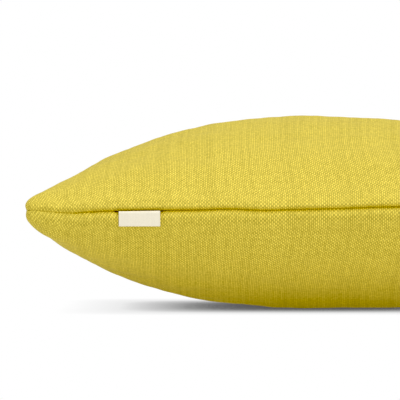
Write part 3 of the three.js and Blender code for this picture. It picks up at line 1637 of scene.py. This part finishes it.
@dataclass(frozen=True)
class SeamOpening:
    """Where the seam opens for the ribbon that is caught in it."""

    left: float
    right: float
    width: float
    ease: float = 1.2 * MM

    def width_at(self, points: Array) -> Array:
        """Extra opening beside points of the seam. Only the front seam opens.

        Args:
            points: Points of the seam, all round.

        Returns:
            Widths in metres.
        """
        in_front = points[:, 1] < -0.5 * np.abs(points[:, 1]).max()
        outside = np.maximum(self.left - points[:, 0], points[:, 0] - self.right)
        share = 0.5 - 0.5 * np.tanh(outside / self.ease * 2 - 2)
        return self.width * share * in_front


@dataclass
class SideLabel:
    """A woven ribbon folded once and caught in the front seam, hanging over the lower panel's roll.

    It bends down over a round corner, leans back by a part of its drop, and its lower end bows
    forward a little more at one place across than at its edges. The two layers get thinner just at
    the woven edges.
    """

    finish: LabelRibbon
    columns: int = 40
    layer: float = 0.28 * MM
    edge_thinning: float = 0.8
    edge_sharpness: int = 40
    slit: float = 0.10 * MM
    drop: float = 11 * MM
    held: float = 3 * MM
    bend: float = 1.2 * MM
    stand_off: float = 0.20 * MM
    lean: float = 0.20
    bow: float = 0.25 * MM
    bow_turn: float = 1.1 * math.pi
    bow_shift: float = 0.6
    clearance: float = 0.03 * MM
    side_room: float = 1.8 * MM
    name: str = "woven_side_label"
    left: float = field(init=False)
    right: float = field(init=False)

    def __post_init__(self) -> None:
        """Takes the label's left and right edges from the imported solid's box."""
        low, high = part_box(LABEL_NODE)
        self.left, self.right = low.x, high.x

    @property
    def opening(self) -> SeamOpening:
        """The opening that the seam needs for the two layers."""
        width = 2 * (self.layer + self.clearance) + self.slit
        return SeamOpening(self.left - self.side_room, self.right + self.side_room, width)

    def hanging_line(self, depth: float) -> Array:
        """Middle of the folded pair of layers, seen from the side.

        Args:
            depth: How far in front of the seam the line has to start to hang clear of the lower panel.

        Returns:
            Distances out of the seam and heights over it, from the held end to the fold.
        """
        out = depth + self.stand_off + self.layer
        level_run = np.linspace(-self.held, out - self.bend, 6)
        turn = np.linspace(0, math.pi / 2, 9)[1:-1]
        bend_out = out - self.bend + self.bend * np.sin(turn)
        bend_down = -self.bend + self.bend * np.cos(turn)
        fold = self.layer + self.slit / 2
        heights = np.linspace(-self.bend, -self.drop + fold, 18)
        leaning = out - self.lean * (-heights - self.bend)
        return np.concatenate(
            [
                np.stack([level_run, np.zeros_like(level_run)], axis=-1),
                np.stack([bend_out, bend_down], axis=-1),
                np.stack([leaning, heights], axis=-1),
            ]
        )

    def ribbon_line(self, depth: float) -> tuple[Array, Array]:
        """Middle of the ribbon itself: down the outer layer, round the fold and up the inner one.

        Args:
            depth: How far in front of the seam the line has to start to hang clear of the lower panel.

        Returns:
            The points, as distances and heights, and the ribbon's outward direction at each.
        """
        line = self.hanging_line(depth)
        heading = unit(np.gradient(line, axis=0))
        outward = np.stack([-heading[:, 1], heading[:, 0]], axis=-1)
        half = (self.layer + self.slit) / 2
        outer = line + outward * half
        inner = (line - outward * half)[::-1]
        angles = np.linspace(0, math.pi, 11)[1:-1, None]
        around = outward[-1] * np.cos(angles) + heading[-1] * np.sin(angles)
        fold = line[-1] + around * half
        return np.concatenate([outer, fold, inner]), np.concatenate([outward, around, -outward[::-1]])

    def skin(self, line: Array, outward: Array, seam: Array, spread: Array) -> Array:
        """Points of one side of the ribbon.

        Args:
            line: Middle of the ribbon, as distances out of the seam and heights over it.
            outward: Directions from it to this side.
            seam: The seam at each column.
            spread: Where each column lies, from -1 at the left edge to 1.

        Returns:
            The points, column by column.
        """
        hang = np.clip(-line[:, 1] / self.drop, 0, 1)
        edge_share = np.sqrt(np.clip(1 - np.abs(spread) ** self.edge_sharpness * self.edge_thinning, 0, 1))
        columns = []
        for point, place, share in zip(seam, spread, edge_share):
            profile = line + outward * self.layer * share / 2
            bowed = self.bow * hang * (0.5 + 0.5 * math.cos(place * self.bow_turn + self.bow_shift))
            x = np.full(len(line), point[0])
            y = point[1] - profile[:, 0] - bowed
            z = profile[:, 1] + point[2] + (seam[:, 2].mean() - point[2]) * hang
            columns.append(np.stack([x, y, z], axis=-1))
        return np.concatenate(columns)

    def closed_faces(self, rows: int) -> list[list[int]]:
        """Faces of both skins and the rim between them.

        Args:
            rows: Points in one column.

        Returns:
            The faces as lists of point numbers.
        """
        count = self.columns + 1
        front = np.arange(count * rows).reshape(count, rows)
        back = front + count * rows
        rim = np.stack([border_of(front), border_of(back)])
        rim = np.concatenate([rim, rim[:, :1]], axis=1)
        faces = [grid_quads(front), grid_quads(back)[:, ::-1], grid_quads(rim)[:, ::-1]]
        return np.concatenate(faces).tolist()

    def build(self, lower: CoverPanel, lower_ob: bpy.types.Object) -> bpy.types.Object:
        """Makes the ribbon in front of the lower panel.

        Args:
            lower: The lower panel's maker, for the seam line.
            lower_ob: The lower panel's mesh.

        Returns:
            The ribbon.
        """
        width = self.right - self.left
        spread = np.linspace(-1, 1, self.columns + 1)
        across = 0.5 + 0.5 * np.sin(spread * math.pi / 2)
        seam = self.seam_beside(lower, self.left + width * across)
        tree = BVHTree.FromObject(lower_ob, bpy.context.evaluated_depsgraph_get())
        depth = max(self.room_needed(tree, point) for point in map(Vector, seam))
        line, outward = self.ribbon_line(depth)
        run = run_along(line)
        skins = [self.skin(line, side, seam, spread) for side in (outward, -outward)]
        ob = new_object(self.name, np.concatenate(skins), self.closed_faces(len(line)))
        flat = np.meshgrid(width * (across - 0.5), run - run[-1] / 2, indexing="ij")
        self.add_map(ob, np.stack(flat, axis=-1).reshape(-1, 2))
        ob.data.materials.append(self.finish.material())
        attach(ob, BODY)
        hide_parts(LABEL_NODE)
        lower_ob.name
        return ob

    def seam_beside(self, lower: CoverPanel, x: Array) -> Array:
        """The middle of the open front seam.

        Args:
            lower: The lower panel's maker.
            x: Where along the seam.

        Returns:
            The points.
        """
        lines = lower.grid_lines()
        front = np.full_like(lines, lines[0])
        whole_u = np.concatenate([lines[:-1], -front[:-1], -lines[:-1], front[:-1]])
        whole_v = np.concatenate([front[:-1], lines[:-1], -front[:-1], -lines[:-1]])
        seam, _ = lower.seam_line(whole_u, whole_v)
        seam = seam[: len(lines)]
        middle = seam[:, 2] + self.opening.width_at(seam) / 2
        y, z = (np.interp(x, seam[:, 0], values) for values in (seam[:, 1], middle))
        return np.stack([x, y, z], axis=-1)

    def room_needed(self, tree: BVHTree, seam: Vector) -> float:
        """How far in front of one place of the seam the hanging line has to start to clear the panel.

        Args:
            tree: The lower panel, for ray casts.
            seam: The place.

        Returns:
            The distance.
        """
        rays, highest, well_in_front = 24, 0.5 * MM, -1.0
        needed = 0.0
        for height in np.linspace(highest, self.drop, rays):
            start = Vector((seam.x, well_in_front, seam.z - height))
            hit = tree.ray_cast(start, Vector((0, 1, 0)))[0]
            if hit:
                leaned = self.lean * max(0.0, height - self.bend)
                needed = max(needed, seam.y - hit.y + leaned)
        return needed

    def add_map(self, ob: bpy.types.Object, on_ribbon: Array) -> None:
        """Lays the ribbon out flat on the bake map, its two skins beside each other.

        Args:
            ob: The ribbon.
            on_ribbon: The place of each point of one skin on the flat ribbon.
        """
        skin_gap, narrowing = 16.5 * MM, 2.2
        half = len(on_ribbon)
        laid = np.concatenate([on_ribbon, on_ribbon])
        laid[:, 0] /= narrowing
        laid[:half, 0] -= skin_gap / 2
        laid[half:, 0] += skin_gap / 2
        write_map(ob.data, corner_values(ob.data, self.finish.map_from_cloth(laid)))


@dataclass(frozen=True)
class SoftLight:
    """A broad soft light far away, by its strength and where it shines from, in degrees."""

    name: str
    strength: float
    height: float
    turn: float
    spread: float = 50.0

    def build(self) -> None:
        """Makes the light."""
        lamp = bpy.data.lights.new(self.name, "SUN")
        lamp.energy = self.strength
        lamp.angle = math.radians(self.spread)
        light = bpy.data.objects.new(self.name, lamp)
        light.rotation_euler = (math.radians(90 - self.height), 0, math.radians(self.turn))
        bpy.context.scene.collection.objects.link(light)


STUDIO_LIGHTS = (
    SoftLight("soft_key", strength=0.92, height=45.0, turn=40.0),
    SoftLight("soft_fill", strength=0.26, height=45.0, turn=-40.0),
    SoftLight("soft_top", strength=0.68, height=76.0, turn=0.0),
)


@dataclass(frozen=True)
class Studio:
    """White light table under a white sky, three soft lights and a level camera in front.

    The floor looks plain white. Its shadow under the cushion is painted shadow: ambient occlusion darkens
    the floor's own glow where something is close above it, and the lamps cast none on it, so that the
    shadow stays narrow and grey. What it gives to the cushion from below is weaker, and weakest at the
    left. glow_even is the part of it that the painted shadow leaves alone.
    """

    camera_x: float = -93 * MM
    camera_height: float = 84.6 * MM
    camera_distance: float = 2.52
    lens: float = 284.3
    sky: float = 0.63
    floor_size: float = 12.0
    floor_colour: Colour = (0.50, 0.50, 0.53)
    floor_roughness: float = 0.9
    floor_glow: float = 0.467
    glow_even: float = 0.65
    glow_at_left: float = 0.80
    glow_ramp: tuple[float, float] = (-350 * MM, -40 * MM)
    shadow_reaches: tuple[float, float] = (24 * MM, 46 * MM)
    shadow_strengths: tuple[float, float] = (0.29, 0.16)
    shadow_samples: int = 16
    darkest_painted_shadow: float = 0.15
    black_level: float = 0.062

    def build(self) -> None:
        """Makes the floor, the lights and the camera."""
        self.add_floor()
        self.add_sky()
        for light in STUDIO_LIGHTS:
            light.build()
        self.add_camera()
        view = bpy.context.scene.view_settings
        view.view_transform = "Standard"
        view.use_curve_mapping = True
        view.curve_mapping.black_level = (self.black_level,) * 3
        view.curve_mapping.update()

    def add_floor(self) -> None:
        """A pale floor that glows by itself, with a painted shadow under the cushion."""
        half = self.floor_size / 2
        corners = np.array([(-half, -half, 0), (half, -half, 0), (half, half, 0), (-half, half, 0)])
        floor = new_object("studio_floor", corners, [[0, 1, 2, 3]])
        material, nodes, shader = new_material("white_floor")
        # The camera gets no reflected light from the floor, only its glow with the painted shadow.
        seen = nodes.add("ShaderNodeLightPath").outputs["Is Camera Ray"]
        colour = nodes.mixed(seen, dimmed(self.floor_colour, 1.0), BLACK)
        nodes.join(colour, shader.inputs["Base Color"])
        shader.inputs["Roughness"].default_value = self.floor_roughness
        shader.inputs["Specular IOR Level"].default_value = 0.0
        shader.inputs["Emission Color"].default_value = WHITE
        nodes.join(self.floor_light(nodes, seen), shader.inputs["Emission Strength"])
        floor.data.materials.append(material)

    def floor_light(self, nodes: Nodes, seen: Socket) -> Socket:
        """How bright the floor glows, its painted shadow included.

        Args:
            nodes: The floor's node maker.
            seen: 1 to the camera, 0 to everything else.

        Returns:
            The strength: what the camera sees, and what the cushion gets.
        """
        # Painted shadow: ambient occlusion darkens the glow where the cushion is close above the floor;
        # the lamps cast no shadow on it.
        open_share = 1.0
        for reach, strength in zip(self.shadow_reaches, self.shadow_strengths):
            covered = nodes.add("ShaderNodeAmbientOcclusion", samples=self.shadow_samples)
            covered.inputs["Distance"].default_value = reach
            shade = nodes.math("POWER", covered.outputs["AO"], strength)
            open_share = nodes.math("MULTIPLY", shade, open_share)
        shaded_glow = self.floor_glow * (1 - self.glow_even)
        given = nodes.scaled(open_share, shaded_glow, self.floor_glow * self.glow_even)
        place = nodes.add("ShaderNodeSeparateXYZ")
        nodes.join(nodes.add("ShaderNodeTexCoord").outputs["Object"], place.inputs[0])
        sideways = nodes.ranged(place.outputs["X"], *self.glow_ramp, self.glow_at_left, 1.0)
        given = nodes.math("MULTIPLY", given, sideways)
        # The camera sees the glow with the painted shadow, which goes no lower than a set least value.
        looks = nodes.math("MAXIMUM", open_share, self.darkest_painted_shadow)
        return nodes.scaled(nodes.math("SUBTRACT", looks, given), seen, given)

    def add_sky(self) -> None:
        """An even white sky, white to the camera and weaker as a light."""
        world = bpy.data.worlds.new("white_sky")
        world.use_nodes = True
        nodes = Nodes(world.node_tree)
        sky = world.node_tree.nodes["Background"]
        sky.inputs["Color"].default_value = WHITE
        seen = nodes.add("ShaderNodeLightPath").outputs["Is Camera Ray"]
        nodes.join(nodes.scaled(seen, 1 - self.sky, self.sky), sky.inputs["Strength"])
        bpy.context.scene.world = world

    def add_camera(self) -> None:
        """A level camera that looks along +Y."""
        lens = bpy.data.cameras.new("camera")
        lens.lens = self.lens
        camera = bpy.data.objects.new("camera", lens)
        camera.location = (self.camera_x, -self.camera_distance, self.camera_height)
        camera.rotation_euler = (math.pi / 2, 0, 0)
        bpy.context.scene.collection.objects.link(camera)
        bpy.context.scene.camera = camera


def main() -> None:
    """Builds the studio, the two panels of the cover and the label, and reports each piece."""
    logging.basicConfig(level=logging.INFO, format="%(message)s")
    Studio().build()
    form = CoverForm.from_frame()
    settled = ClothSettling().run(form)
    cloth = CoverCloth()
    label = SideLabel(LabelRibbon())
    upper = CoverPanel(Panel.UPPER, form, settled, cloth, seam_opening=label.opening)
    lower = CoverPanel(Panel.LOWER, form, settled, cloth, seam_opening=label.opening)
    report_piece(upper.build())
    lower_ob = lower.build()
    report_piece(lower_ob)
    report_piece(label.build(lower, lower_ob))


if __name__ == "__main__":
    main()
